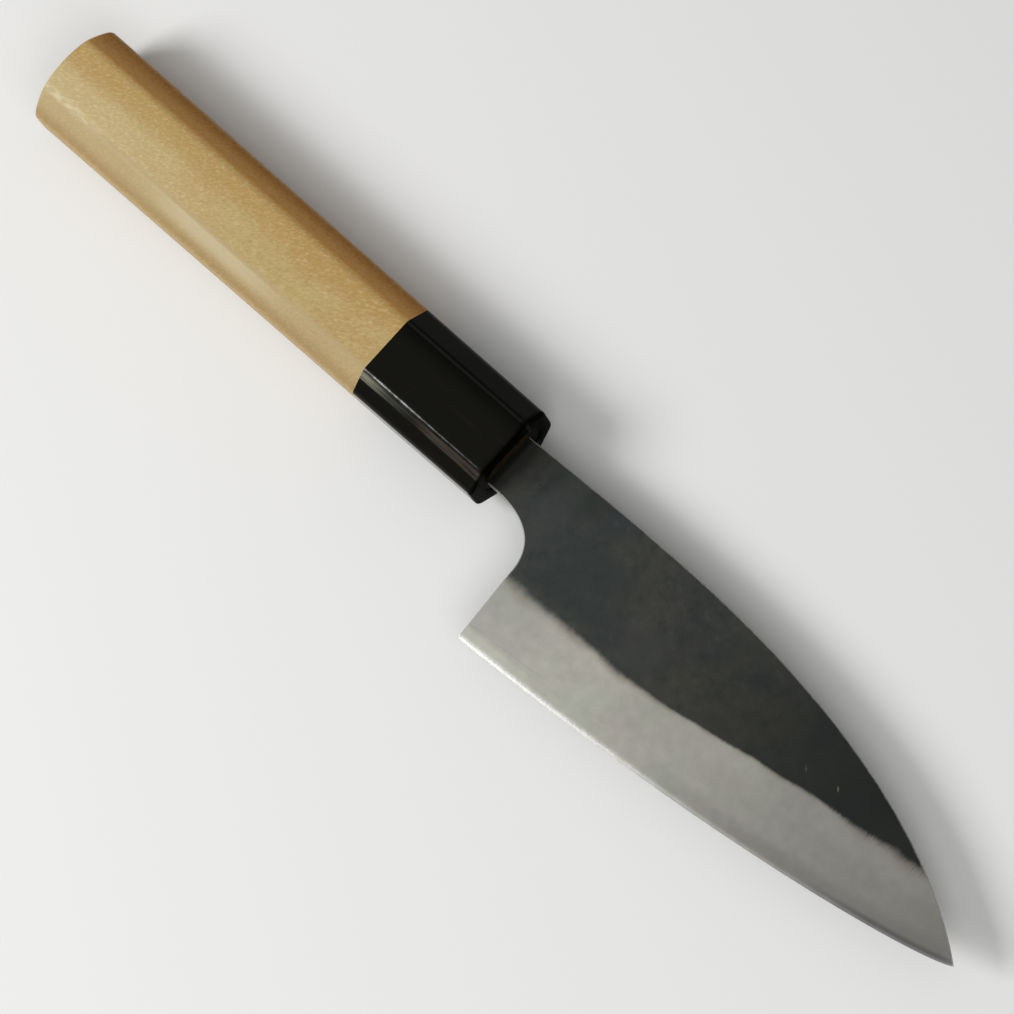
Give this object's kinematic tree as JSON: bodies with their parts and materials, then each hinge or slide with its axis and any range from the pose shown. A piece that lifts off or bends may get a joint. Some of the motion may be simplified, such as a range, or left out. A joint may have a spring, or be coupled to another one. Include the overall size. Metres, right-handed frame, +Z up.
{
  "type": "petty knife",
  "caption": "Small forged kitchen knife with a laminated blade, a dark unground upper face, a ground bevel, an octagonal wooden handle and a horn ferrule.",
  "frame": {"origin": "middle of the bounding box on Z = 0, where the knife's lowest point lies", "axes": "+X from the butt to the tip along the handle's axis, +Y towards the spine, +Z up, with the blade lying flat"},
  "size_m": [0.264, 0.0462, 0.0196],
  "materials": {
    "edge_steel": "ground hard steel",
    "forge_scale": "black forge scale on soft iron, ground bright below the bevel line",
    "magnolia_wood": "bare, finely sanded",
    "polished_horn": "polished black horn",
    "resin": "dull brown resin"
  },
  "bodies": {
    "root": {"core_steel": "edge_steel", "upper_cladding": "forge_scale", "lower_cladding": "forge_scale", "handle_body": "magnolia_wood", "horn_ferrule": "polished_horn", "tang_seal": "resin"}
  },
  "joints": []
}
